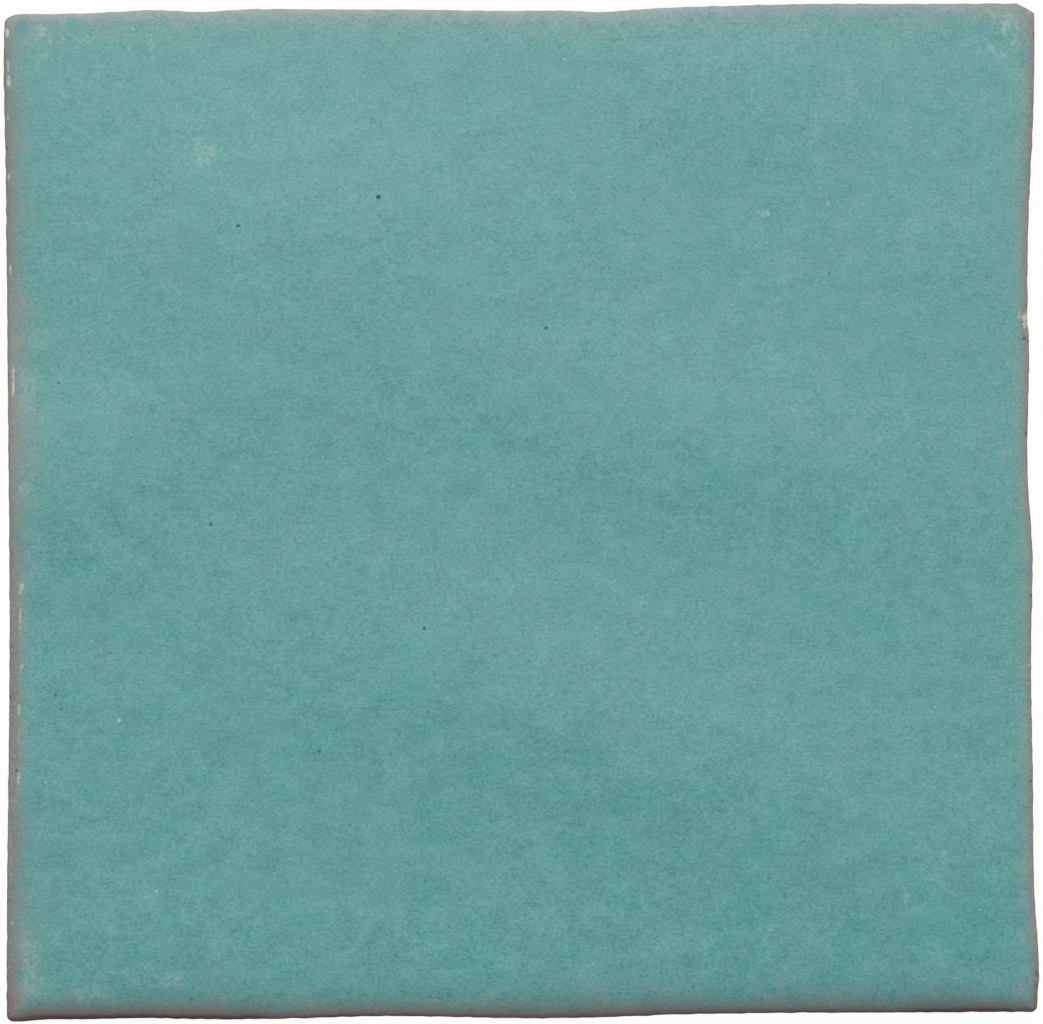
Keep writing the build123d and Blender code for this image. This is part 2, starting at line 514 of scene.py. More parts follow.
MARKS: dict[Mark, tuple[GlazeMark, ...]] = {
    Mark.SPECK: (
        GlazeMark(-14.0, 30.8, 0.28, 0.28, 1.0),
        GlazeMark(-27.7, 28.0, 0.26, 0.2, 0.85),
        GlazeMark(2.4, 18.0, 0.19, 0.19, 0.95),
        GlazeMark(-8.8, 20.1, 0.16, 0.16, 0.25),
        GlazeMark(-45.3, 12.6, 0.16, 0.16, 0.45),
        GlazeMark(-30.4, -1.2, 0.23, 0.23, 0.8),
        GlazeMark(-9.5, -11.4, 0.22, 0.22, 0.8),
        GlazeMark(-19.8, -23.4, 0.21, 0.21, 0.8),
        GlazeMark(-45.6, -17.9, 0.22, 0.22, 0.55),
        GlazeMark(-45.1, -19.3, 0.18, 0.18, 0.42),
        GlazeMark(-46.4, -13.6, 0.18, 0.18, 0.42),
        GlazeMark(-45.4, -44.9, 0.18, 0.18, 0.45),
        GlazeMark(-32.3, -47.7, 0.24, 0.24, 0.52),
        GlazeMark(-40.0, -35.0, 0.2, 0.2, 0.4),
        GlazeMark(-44.3, 42.3, 0.16, 0.16, 0.42),
        GlazeMark(49.2, 17.0, 0.2, 0.2, 0.75),
        GlazeMark(49.4, 7.7, 0.22, 0.22, 0.7),
        GlazeMark(30.1, 23.35, 0.13, 0.15, 0.65),
        GlazeMark(49.75, 16.4, 0.12, 0.16, 0.6),
        GlazeMark(50.45, -45.2, 0.16, 0.35, 0.7),
        GlazeMark(50.3, -46.4, 0.16, 0.25, 0.45),
        GlazeMark(50.2, -47.7, 0.16, 0.2, 0.35),
    ),
    Mark.DOT: (
        GlazeMark(-39.4, -20.4, 0.22, 0.22, 0.95),
        GlazeMark(4.2, 44.3, 0.17, 0.17, 0.65),
        GlazeMark(-35.7, -37.1, 0.21, 0.21, 0.65),
        GlazeMark(24.1, 29.2, 0.21, 0.21, 0.6),
        GlazeMark(-38.0, 47.3, 0.22, 0.22, 0.45),
        GlazeMark(-38.4, 45.4, 0.2, 0.2, 0.45),
        GlazeMark(29.95, 30.2, 0.13, 0.24, 0.55),
        GlazeMark(23.15, 29.4, 0.11, 0.28, 0.4),
        GlazeMark(24.1, 26.4, 0.2, 0.12, 0.45),
        GlazeMark(41.35, -33.25, 0.22, 0.13, 0.45),
        GlazeMark(44.9, -38.9, 0.12, 0.16, 0.4),
        GlazeMark(42.4, -45.6, 0.22, 0.13, 0.45),
    ),
    Mark.BLUE: (
        GlazeMark(-48.9, 47.4, 0.65, 0.9, 1.0),
        GlazeMark(-45.8, 45.0, 0.6, 0.5, 0.9),
        GlazeMark(45.2, 47.3, 1.3, 0.7, 0.9),
        GlazeMark(1.4, 44.5, 0.7, 0.5, 0.5),
        GlazeMark(-11.4, 46.3, 0.8, 0.5, 0.5),
    ),
    Mark.GREEN: (
        GlazeMark(-37.8, -36.7, 0.25, 0.22, 1.0),
        GlazeMark(-45.8, 47.2, 0.6, 0.6, 0.7),
        GlazeMark(-43.8, 47.4, 1.2, 1.1, 0.95),
    ),
    Mark.SCUFF: (
        GlazeMark(47.5, 47.8, 1.5, 1.5, 1.0),
        GlazeMark(46.4, 48.7, 2.2, 0.6, 0.8),
        GlazeMark(48.2, 46.2, 0.6, 1.0, 0.7),
        GlazeMark(44.9, 46.2, 0.7, 0.4, 0.6),
        GlazeMark(45.8, 45.5, 0.8, 0.4, 0.4),
        GlazeMark(46.7, 44.8, 0.9, 0.5, 0.7),
        GlazeMark(-36.2, 45.4, 0.25, 2.5, 0.6),
        GlazeMark(-47.1, 47.2, 0.7, 0.9, 0.9),
        GlazeMark(-48.8, 46.1, 0.5, 0.4, 0.7),
        GlazeMark(-42.4, 46.3, 0.7, 0.5, 0.6),
        GlazeMark(-46.6, 44.7, 0.8, 0.4, 0.6),
        GlazeMark(-46.1, 46.6, 0.3, 1.0, 0.8),
        GlazeMark(-47.9, 44.7, 0.5, 0.3, 0.5),
        GlazeMark(-45.0, 46.0, 0.25, 0.7, 0.45),
        GlazeMark(-31.0, 35.1, 1.5, 1.9, 0.48),
        GlazeMark(-48.3, -42.8, 1.2, 2.4, 0.8),
        GlazeMark(-48.0, -45.8, 1.6, 1.6, 0.7),
        GlazeMark(-42.3, -47.2, 2.2, 0.9, 0.6),
        GlazeMark(-34.1, -45.9, 1.6, 1.0, 0.5),
        GlazeMark(40.6, -43.2, 1.0, 0.9, 0.3),
        GlazeMark(41.5, -44.3, 0.5, 0.4, 0.3),
        GlazeMark(37.5, -37.3, 0.4, 0.9, 0.6),
        GlazeMark(-36.2, -37.7, 0.8, 0.25, 0.5),
        GlazeMark(23.6, 29.2, 0.5, 0.3, 0.5),
        GlazeMark(-29.4, 33.1, 0.9, 0.4, 0.35),
        GlazeMark(41.3, -33.5, 0.5, 0.25, 0.45),
        GlazeMark(31.7, 41.4, 1.6, 1.4, 0.4),
        GlazeMark(-48.6, 2.4, 0.8, 0.9, 0.6),
        GlazeMark(-48.6, 11.6, 1.2, 3.2, 0.6),
    ),
}


@dataclass
class Surface:
    """A closed mesh as whole arrays: points in millimetres, faces, face-corner map places, point values."""

    points: np.ndarray
    faces: list[np.ndarray]
    places: list[np.ndarray]
    values: dict[str, np.ndarray]

    def to_object(self, name: str, material: bpy.types.Material) -> bpy.types.Object:
        """Puts the arrays into a mesh object at the origin, in metres.

        Args:
            name: The object's and the mesh's name.
            material: The finish it wears.

        Returns:
            The object, linked into the scene.
        """
        mesh = bpy.data.meshes.new(name)
        corners = [face for block in self.faces for face in block.tolist()]
        mesh.from_pydata(self.points * METRES, [], corners)
        places = np.concatenate([block.reshape(-1, 2) for block in self.places])
        unwrapped = mesh.uv_layers.new(name="OFBake")
        unwrapped.data.foreach_set("uv", places.astype(np.float32).ravel())
        for label, value in self.values.items():
            is_colour = value.ndim == 2 and value.shape[1] == 3
            kind, entry = ("FLOAT_VECTOR", "vector") if is_colour else ("FLOAT", "value")
            attribute = mesh.attributes.new(label, kind, "POINT")
            attribute.data.foreach_set(entry, value.astype(np.float32).ravel())
        mesh.polygons.foreach_set("use_smooth", np.ones(len(mesh.polygons), dtype=bool))
        mesh.materials.append(material)
        mesh.validate()
        mesh.update()
        piece = bpy.data.objects.new(name, mesh)
        bpy.context.scene.collection.objects.link(piece)
        return piece


class PointStore:
    """Collects the points of a surface block by block, and hands out their numbers."""

    def __init__(self) -> None:
        """Starts with no points."""
        self.points: list[np.ndarray] = []
        self.places: list[np.ndarray] = []
        self.values: list[dict[str, np.ndarray]] = []
        self.count = 0

    def add(
        self, x: np.ndarray, y: np.ndarray, z: np.ndarray, places: np.ndarray, values: dict[str, np.ndarray]
    ) -> np.ndarray:
        """Takes a block of points in.

        Args:
            x: X of the points, of any shape.
            y: Y of the points.
            z: Z of the points.
            places: Where the points lie on the map, with one more axis.
            values: The points' values, each of the same shape, or with one more axis for colours.

        Returns:
            The points' numbers, of the same shape.
        """
        numbers = np.arange(self.count, self.count + x.size).reshape(x.shape)
        self.points.append(np.stack([x.ravel(), y.ravel(), z.ravel()], axis=-1))
        self.places.append(places.reshape(-1, 2))
        self.values.append({name: value.reshape(x.size, -1) for name, value in values.items()})
        self.count += x.size
        return numbers

    def all_values(self) -> dict[str, np.ndarray]:
        """Every point value, in the order of the points."""
        return {name: np.concatenate([block[name] for block in self.values]) for name in self.values[0]}


def cell_corners(grid: np.ndarray) -> np.ndarray:
    """The four corners of every cell of a grid of numbers or places, in the order that faces outwards."""
    corners = np.stack([grid[:-1, :-1], grid[1:, :-1], grid[1:, 1:], grid[:-1, 1:]], axis=2)
    return corners.reshape(-1, 4, *grid.shape[2:])


def border_of(grid: np.ndarray) -> np.ndarray:
    """The border of a grid of point numbers, anticlockwise from its bottom left corner."""
    return np.concatenate([grid[:-1, 0], grid[-1, :-1], grid[:0:-1, -1], grid[0, :0:-1]])


def halving(coarse: np.ndarray, fine: np.ndarray) -> np.ndarray:
    """The triangles between a closed ring and one around it that has twice as many points."""
    start, middle, end = fine[0::2], fine[1::2], np.roll(fine, -2)[0::2]
    following = np.roll(coarse, -1)
    triangles = ((coarse, start, middle), (coarse, middle, following), (following, middle, end))
    return np.concatenate([np.stack(corners, axis=-1) for corners in triangles])


@dataclass(frozen=True)
class MapLayout:
    """Where the tile's skin lies on its unit square: the face, the back, and a strip for each side.

    bevel_share is how much of a strip's height the back's bevel takes.
    """

    face: float = 0.775
    back: float = 0.205
    strip: float = 0.105
    margin: float = 0.006
    reach: float = 51.8
    bevel_share: float = 0.06

    def on_face(self, x: np.ndarray, y: np.ndarray) -> np.ndarray:
        """Places on the face's square, from millimetres about its middle."""
        scale = (self.face - 2 * self.margin) / (2 * self.reach)
        middle = self.face / 2
        return np.stack([middle + x * scale, middle + y * scale], axis=-1)

    def on_back(self, x: np.ndarray, y: np.ndarray) -> np.ndarray:
        """Places on the back's square, which is mirrored because it is seen from below."""
        scale = (self.back - 2 * self.margin) / (2 * self.reach)
        middle = 1 - self.back / 2
        return np.stack([middle - x * scale, middle + y * scale], axis=-1)

    def on_side(self, side: Side, along: np.ndarray, down: np.ndarray) -> np.ndarray:
        """Places on a side's strip: two lie above the face's square, and two to the right of it.

        Args:
            side: Which side it is.
            along: The share of the way along the side.
            down: The share of the way down it.

        Returns:
            The places, of shape (..., 2).
        """
        start = self.margin + along * (self.face - 2 * self.margin)
        step = self.face + side.value % 2 * self.strip + self.margin + down * (self.strip - 2 * self.margin)
        return np.stack([start, step] if side.value < 2 else [step, start], axis=-1)


@dataclass(frozen=True)
class ZelligeTile:
    """The fired tile as one closed surface: a rolling face, rounded arrises, cut sides and a flat back.

    rim_start is how far in the rim's rows begin, and corner_turn how suddenly the way outwards turns at a
    corner. Only what rises over bite_floor is a bite. A pair of depths says how far below the widest line,
    or below the face for chips, something begins and is full. The strays are how much the sway moves the
    glaze's border, more so where clay is bare or the glaze runs down the side, and the width of its
    thinning.
    """

    outline: HandCutOutline
    layout: MapLayout = MapLayout()

    # The solid
    thickness: float = 11.0
    side_lean: float = 4.5
    back_bevel: float = 0.5
    rim_start: float = 4.5
    corner_turn: int = 60
    back_ring_inset: float = 2.0
    back_grid_inset: float = 4.5

    # The unevenness of the face, the cut sides and the back
    peel: Ripples = Ripples(seed=3, shortest=2.5, longest=9.0, height=0.0025, waves=64)
    cut_waves: Ripples = Ripples(seed=5, shortest=6.0, longest=22.0, height=0.10, upright=2.0)
    cut_grain: Ripples = Ripples(seed=6, shortest=1.4, longest=4.0, height=0.03, upright=3.0)
    cut_bites: Ripples = Ripples(seed=9, shortest=5.0, longest=15.0, height=0.45, upright=1.5)
    bite_floor: float = 0.405
    cut_depths: Band = (0.0, 4.0)
    bite_depths: Band = (1.2, 4.0)
    hollows: Ripples = Ripples(seed=8, shortest=5.0, longest=30.0, height=0.03)

    # The border of the glaze, and the clay below it
    sway: Ripples = Ripples(seed=21, shortest=2.0, longest=14.0)
    border_blend: float = 0.7
    border_stray: float = 0.025
    bare_stray: float = 0.03
    run_stray: float = 0.4
    thin_stray: float = 0.08
    clay: Colour = (0.44, 0.335, 0.265)
    clay_depths: Band = (0.1, 1.3)

    # The chips
    chip_depths: Band = (3.0, 2.0)
    chip_slant: float = 0.7

    # The mesh
    cells: int = 160
    lead_rows: int = 9
    arris_rows: int = 12
    side_rows: int = 18
    bevel_rows: int = 3

    def face_height(self, x: np.ndarray, y: np.ndarray) -> np.ndarray:
        """The face over the back: the thickness, each roll's bell exp(-a a - b b) and a faint orange peel."""
        height = np.full_like(x, self.thickness)
        for roll in ROLLS:
            turn = math.radians(roll.heading)
            along = (x - roll.x) * math.cos(turn) + (y - roll.y) * math.sin(turn)
            across = (y - roll.y) * math.cos(turn) - (x - roll.x) * math.sin(turn)
            height += roll.rise * np.exp(-((along / roll.half_length) ** 2) - (across / roll.half_width) ** 2)
        return height + self.peel.over(x, y)

    def back_height(self, x: np.ndarray, y: np.ndarray) -> np.ndarray:
        """The back over the floor: shallow hollows from the drying board, none of them below the floor."""
        return np.maximum(self.hollows.height + self.hollows.over(x, y), 0)

    def side_value(self, x: np.ndarray, y: np.ndarray, name: str) -> np.ndarray:
        """A size that each side has its own of, blended round the corners."""
        nearness = self.outline.nearness(x, y)
        return sum(weight * getattr(self.outline.sides[side], name) for side, weight in nearness.items())

    def rim_value(self, side: Side, x: np.ndarray, y: np.ndarray, name: str) -> np.ndarray:
        """A value of one side's rim at each point: the side's own, changed along its runs.

        Args:
            side: Which side it is.
            x: X of the points.
            y: Y of the points.
            name: Which value it is.

        Returns:
            The value at each point, with a last axis of 1 for a number or 3 for a colour.
        """
        own = self.outline.sides[side]
        value = np.atleast_1d(getattr(own, name)) + np.zeros((*x.shape, 1))
        along = x if side in (Side.TOP, Side.BOTTOM) else y
        for run in own.runs:
            if hasattr(run, name):
                begun = smooth_step(run.start - run.ease, run.start + run.ease, along)
                ended = smooth_step(run.end - run.ease, run.end + run.ease, along)
                value = value + (begun - ended)[..., None] * (np.atleast_1d(getattr(run, name)) - value)
        return value

    def rim_wear(
        self, x: np.ndarray, y: np.ndarray, depth: np.ndarray | float = 0.0
    ) -> dict[str, np.ndarray]:
        """What the glaze is like at each point.

        bare rises from 0 to 1 across the border of the nearest side's bare clay. Each side thins the glaze by
        exp(-(distance from its border / thin) ^ fade), and what two sides leave of it near a corner is
        multiplied.

        Args:
            x: X of the points in the plain rectangle.
            y: Y of the points in the plain rectangle.
            depth: How far below the tile's widest line a point is, on the sides and the back.

        Returns:
            The values bare and thin, and the colours tint and clay.
        """
        uneven = self.sway.over(x, y)
        nearness = self.outline.nearness(x, y)
        left, past = 1.0, -self.border_blend
        tint = clay = 0.0
        for side, gap in self.outline.distances(x, y).items():
            bare, thin, fade = (self.rim_value(side, x, y, name)[..., 0] for name in ("bare", "thin", "fade"))
            stray = self.border_stray + self.bare_stray * bare - self.run_stray * np.minimum(bare, 0)
            border = bare + stray * uneven
            beyond = gap - depth - border
            gone = np.maximum(beyond + np.minimum(border, 0), 0) / (thin * np.exp(self.thin_stray * uneven))
            left = left * (1 - np.exp(-(gone**fade)))
            past = np.maximum(past, -beyond)
            # tint and clay carry the painted light of the top side's rim and the painted shade of the bottom
            # side's rim into the points.
            tint = tint + nearness[side][..., None] * self.rim_value(side, x, y, "tint")
            clay = clay + nearness[side][..., None] * self.rim_value(side, x, y, "clay")
        deep = smooth_step(*self.clay_depths, depth + 0 * x)[..., None]
        return {
            "bare": np.clip(0.5 + past / self.border_blend, 0, 1),
            "thin": 1 - left,
            "tint": tint,
            "clay": clay * (1 - deep) + np.array(self.clay) * deep,
        }

    def rim_profile(self, x: np.ndarray, y: np.ndarray) -> PlanPoints:
        """The rim's section at every point of the outline, as rows from the face to the tile's widest line.

        A few rows lead across the face to the rounding, and close up towards it. The rounding follows the
        superellipse (1 - inset / rim) ^ power + (1 - fall / drop) ^ 2 = 1.

        Args:
            x: X of the outline's points.
            y: Y of the outline's points.

        Returns:
            How far each row lies inside the outline, and how far below the face.
        """
        rim, drop, power = (self.side_value(x, y, name) for name in ("rim", "drop", "power"))
        lead = 1 - np.linspace(1, 0, self.lead_rows + 1)[1:-1, None] ** 2
        turn = np.linspace(0, QUARTER_TURN, self.arris_rows + 1)[:, None]
        flat = self.rim_start + (rim - self.rim_start) * lead
        rounding = rim * (1 - np.sin(turn) ** (2 / power))
        fall = drop * (1 - np.cos(turn))
        return np.concatenate([flat, rounding]), np.concatenate([np.zeros_like(flat), fall])

    def hand_cut(self, x: np.ndarray, y: np.ndarray, z: np.ndarray, depth: np.ndarray) -> np.ndarray:
        """How far the cut sides stand out: ripples that grow with the depth below the arris, less the bites.

        Args:
            x: X of the points.
            y: Y of the points.
            z: Z of the points.
            depth: How far below the tile's widest line they are.

        Returns:
            How far each point moves outwards.
        """
        ripples = self.cut_waves.over(x, y, z) + self.cut_grain.over(x, y, z)
        bites = np.maximum(self.cut_bites.over(x, y, z) - self.bite_floor, 0)
        return ripples * smooth_step(*self.cut_depths, depth) - bites * smooth_step(*self.bite_depths, depth)

    def build(self) -> Surface:
        """Works out the tile's grids and rings as whole arrays, and joins them into one closed surface.

        The face is a grid with the outline's rings around it. The rings run on over the arris, down the sides
        and round the back's bevel, and the back is a coarser grid inside the last of them.

        Returns:
            The closed surface with its map places and point values.
        """
        outline, layout = self.outline, self.layout
        half_x, half_y = outline.half_x, outline.half_y
        store = PointStore()

        # The middle of the face
        plain_x, plain_y = outline.grid(self.cells, self.rim_start)
        x, y = outline.carry(plain_x, plain_y)
        worn = self.rim_wear(plain_x, plain_y)
        face = store.add(x, y, self.face_height(x, y), layout.on_face(x, y), worn)

        # The rim, from the face to the widest line
        unit_x, unit_y = outline.unit_ring(2 * self.cells)
        inset, fall = self.rim_profile(unit_x * half_x, unit_y * half_y)
        plain_x, plain_y = unit_x * (half_x - inset), unit_y * (half_y - inset)
        x, y = outline.carry(plain_x, plain_y)
        z = self.face_height(x, y) - fall
        worn = self.rim_wear(plain_x, plain_y)
        skin = np.hypot(np.diff(inset.mean(axis=1)), np.diff(fall.mean(axis=1))).cumsum()
        spread = 1 + np.concatenate([[0], skin])[:, None] / (half_x - self.rim_start)
        rim = store.add(x, y, z, layout.on_face(x[:1] * spread, y[:1] * spread), worn)

        # The sides, and the round bevel of the back
        out_x, out_y = (np.sign(unit) * np.abs(unit) ** self.corner_turn for unit in (unit_x, unit_y))
        out_x, out_y = np.stack([out_x, out_y]) / np.hypot(out_x, out_y)
        down = np.linspace(0, 1, self.side_rows + 1)[1:, None]
        turn = np.linspace(0, QUARTER_TURN, self.bevel_rows + 1)[1:, None]
        widest = z[-1]
        side_z = widest + (self.back_bevel - widest) * down
        bevel_z = self.back_bevel * (1 - np.sin(turn)) + 0 * widest
        bevel_inset = self.back_bevel * (1 - np.cos(turn)) + 0 * widest
        drawn_in = (widest - side_z) * math.tan(math.radians(self.side_lean))
        drawn_in = np.concatenate([drawn_in, np.repeat(drawn_in[-1:], self.bevel_rows, axis=0)])
        inset = drawn_in + np.concatenate([0 * side_z, bevel_inset])
        z = np.concatenate([side_z, bevel_z])
        x, y = outline.carry(unit_x * (half_x - inset), unit_y * (half_y - inset), drawn_in)
        bulge = self.hand_cut(x, y, np.maximum(z, self.back_bevel), widest - z)
        x, y = x + out_x * bulge, y + out_y * bulge
        worn = self.rim_wear(unit_x * half_x + 0 * z, unit_y * half_y + 0 * z, widest - z)
        sides = store.add(x, y, z, layout.on_back(x, y), worn)

        # The back: a ring of half as many points, then a grid
        lowest = drawn_in[-1].mean()
        gap = lowest + self.back_ring_inset
        unit_x, unit_y = outline.unit_ring(self.cells)
        plain_ring = unit_x * (half_x - gap), unit_y * (half_y - gap)
        plain_grid = outline.grid(self.cells // 2, lowest + self.back_grid_inset)
        backs = []
        for plain_x, plain_y in (plain_ring, plain_grid):
            x, y = outline.carry(plain_x, plain_y, lowest)
            worn = self.rim_wear(x, y, outline.width)
            backs.append(store.add(x, y, self.back_height(x, y), layout.on_back(x, y), worn))
        back_ring, back = backs

        # The faces, and their places on the map
        blocks = [
            cell_corners(face),
            halving(border_of(face), rim[0]),
            cell_corners(np.concatenate([rim, rim[:, :1]], axis=1)),
            halving(back_ring, sides[-1])[:, ::-1],
            halving(border_of(back), back_ring)[:, ::-1],
            cell_corners(back)[:, ::-1],
        ]
        places = np.concatenate(store.places)
        block_places = [places[block] for block in blocks]
        wall = np.concatenate([rim[-1:], sides])
        side_share = 1 - layout.bevel_share
        bevel_drops = side_share + layout.bevel_share * turn[:, 0] / QUARTER_TURN
        drops = np.concatenate([[0], side_share * down[:, 0], bevel_drops])
        for side in Side:
            columns = np.arange(2 * self.cells + 1) + 2 * self.cells * side.value
            along, fallen = np.meshgrid(np.linspace(0, 1, len(columns)), drops)
            blocks.append(cell_corners(wall[:, columns % wall.shape[1]]))
            block_places.append(cell_corners(layout.on_side(side, along, fallen)))
        return self.chipped(Surface(np.concatenate(store.points), blocks, block_places, store.all_values()))

    def chipped(self, surface: Surface) -> Surface:
        """Breaks the chips out of the arris: each is a bell that moves points inwards and down.

        Args:
            surface: The tile with a whole arris.

        Returns:
            The tile with its chips, and with what each kind of break shows as a point value.
        """
        points = surface.points.copy()
        x, y, z = surface.points.T
        near_face = smooth_step(*self.chip_depths, self.thickness - z)
        values = dict(surface.values)
        for kind, chips in CHIPS.items():
            shown = np.zeros(len(points))
            for chip in chips:
                reach = ((x - chip.x) / chip.half_x) ** 2 + ((y - chip.y) / chip.half_y) ** 2
                bell = np.exp(-reach) * near_face
                axis = 0 if abs(chip.x) * self.outline.half_y > abs(chip.y) * self.outline.half_x else 1
                move = self.chip_slant * chip.depth * bell
                points[:, axis] -= math.copysign(1, (chip.x, chip.y)[axis]) * move
                points[:, 2] -= move
                shown = np.maximum(shown, chip.strength * bell)
            values[kind.name.lower()] = shown
        return Surface(points, surface.faces, surface.places, values)


class Field:
    """A socket of a material's node tree that takes part in Python expressions."""

    def __init__(self, tree: FinishTree, socket: bpy.types.NodeSocket) -> None:
        """Remembers the socket and the tree that it is in."""
        self.tree = tree
        self.socket = socket

    def maths(self, operation: str, *terms: Field | float) -> Field:
        """Adds a Math node on the terms, in order."""
        return self.tree.node("ShaderNodeMath", {"operation": operation}, dict(enumerate(terms)))

    def __add__(self, other: Field | float) -> Field:
        """This value plus another."""
        return self.maths("ADD", self, other)

    def __radd__(self, other: float) -> Field:
        """A number plus this value."""
        return self.maths("ADD", other, self)

    def __sub__(self, other: Field | float) -> Field:
        """This value less another."""
        return self.maths("SUBTRACT", self, other)

    def __rsub__(self, other: float) -> Field:
        """A number less this value."""
        return self.maths("SUBTRACT", other, self)

    def __mul__(self, other: Field | float) -> Field:
        """This value times another."""
        return self.maths("MULTIPLY", self, other)

    def __rmul__(self, other: float) -> Field:
        """A number times this value."""
        return self.maths("MULTIPLY", other, self)

    def at_least(self, other: Field | float) -> Field:
        """The greater of this value and another."""
        return self.maths("MAXIMUM", self, other)


@dataclass(frozen=True)
class Cloud:
    """Cloudy noise: the size of its lumps, its finer detail, and how it is squeezed along each axis."""

    size: float
    detail: float = 2.0
    roughness: float = 0.5
    squeeze: tuple[float, float, float] = (1.0, 1.0, 1.0)


class FinishTree:
    """The node tree of one material, and the one place where its nodes are made."""

    def __init__(self, name: str) -> None:
        """Makes the material with an empty tree."""
        self.material = bpy.data.materials.new(name)
        self.material.use_nodes = True
        self.tree = self.material.node_tree
        self.tree.nodes.clear()

    def add(self, kind: str, settings: dict[str, Any], sockets: dict[str | int, Any]) -> bpy.types.Node:
        """Adds a node.

        Args:
            kind: The node's type.
            settings: The properties that are set first.
            sockets: The inputs, by name or place: a Field is linked in, anything else is a value.

        Returns:
            The node.
        """
        made = self.tree.nodes.new(kind)
        for name, value in settings.items():
            setattr(made, name, value)
        for key, value in sockets.items():
            if isinstance(value, Field):
                self.tree.links.new(value.socket, made.inputs[key])
            else:
                made.inputs[key].default_value = value
        return made

    def node(
        self, kind: str, settings: dict[str, Any], sockets: dict[str | int, Any], output: str | int = 0
    ) -> Field:
        """Adds a node, and gives one of its outputs."""
        return Field(self, self.add(kind, settings, sockets).outputs[output])

    def finished(self, shader: Field) -> bpy.types.Material:
        """Links the shader to the material's output, and returns the material."""
        self.add("ShaderNodeOutputMaterial", {}, {"Surface": shader})
        return self.material

    def value_of(self, attribute: str, output: str = "Fac") -> Field:
        """A point value of the mesh, or a point colour where the output is Vector."""
        return self.node("ShaderNodeAttribute", {"attribute_name": attribute}, {}, output)

    def vector(self, operation: str, *terms: Field | tuple[float, ...], output: str = "Vector") -> Field:
        """Adds a Vector Math node on vectors or colours."""
        return self.node("ShaderNodeVectorMath", {"operation": operation}, dict(enumerate(terms)), output)

    def scaled(self, vector: Field | tuple[float, ...], by: Field | float) -> Field:
        """A vector or colour times a value."""
        return self.node("ShaderNodeVectorMath", {"operation": "SCALE"}, {0: vector, "Scale": by})

    def mix(self, factor: Field, first: Field | Colour, second: Field | Colour) -> Field:
        """A colour that goes from the first at 0 to the second at 1."""
        # The colours of a Mix node are its inputs 6 and 7, and its output 2
        ends = {6: first, 7: second}
        padded = {key: value if isinstance(value, Field) else (*value, 1.0) for key, value in ends.items()}
        return self.node("ShaderNodeMix", {"data_type": "RGBA"}, {0: factor, **padded}, 2)

    def band(self, value: Field, ends: Band, top: float = 1.0) -> Field:
        """Rises smoothly from 0 where a value is at the first end to top where it is at the second."""
        sockets = {"Value": value, "From Min": ends[0], "From Max": ends[1], "To Max": top}
        return self.node("ShaderNodeMapRange", {"interpolation_type": "SMOOTHSTEP"}, sockets)

    def noise(self, place: Field, cloud: Cloud) -> Field:
        """Cloudy noise about 0, mostly between -0.3 and 0.3."""
        sockets = {
            "Vector": self.vector("MULTIPLY", place, cloud.squeeze),
            "Scale": 1 / cloud.size,
            "Detail": cloud.detail,
            "Roughness": cloud.roughness,
        }
        return self.node("ShaderNodeTexNoise", {}, sockets) - 0.5

    def dots(self, place: Field, per_mm: float, ends: Band, top: float = 1.0) -> Field:
        """Scattered round dots: a band of the distance to the nearest of random points."""
        gap = self.node("ShaderNodeTexVoronoi", {}, {"Vector": place, "Scale": per_mm}, "Distance")
        return self.band(gap, ends, top)

    def shaken(self, place: Field, size: float, by: float) -> Field:
        """Places moved about by noise with lumps of a given size."""
        cloud = self.node("ShaderNodeTexNoise", {}, {"Vector": place, "Scale": 1 / size}, "Color")
        return self.vector("MULTIPLY_ADD", cloud, (2 * by,) * 3, self.vector("SUBTRACT", place, (by,) * 3))

    def skin(self, colour: Field, roughness: Field | float, relief: Field) -> Field:
        """A shader with a colour, a roughness and a relief in millimetres."""
        normal = self.node("ShaderNodeBump", {}, {"Height": relief * METRES, "Distance": 1.0})
        sockets = {"Base Color": colour, "Roughness": roughness, "Normal": normal}
        return self.node("ShaderNodeBsdfPrincipled", {}, sockets)


@dataclass(frozen=True)
class Layers:
    """What the glaze's shader and the clay's share.

    place is where the surface is, in millimetres. ragged is the noise that breaks up borders, and grain the
    finest noise. bare is where the glaze is missing, chipped where fresh clay shows, flecked where the broken
    edge of the glaze shows, and specks where the iron specks are.
    """

    tree: FinishTree
    place: Field
    ragged: Field
    grain: Field
    bare: Field
    chipped: Field
    flecked: Field
    specks: Field


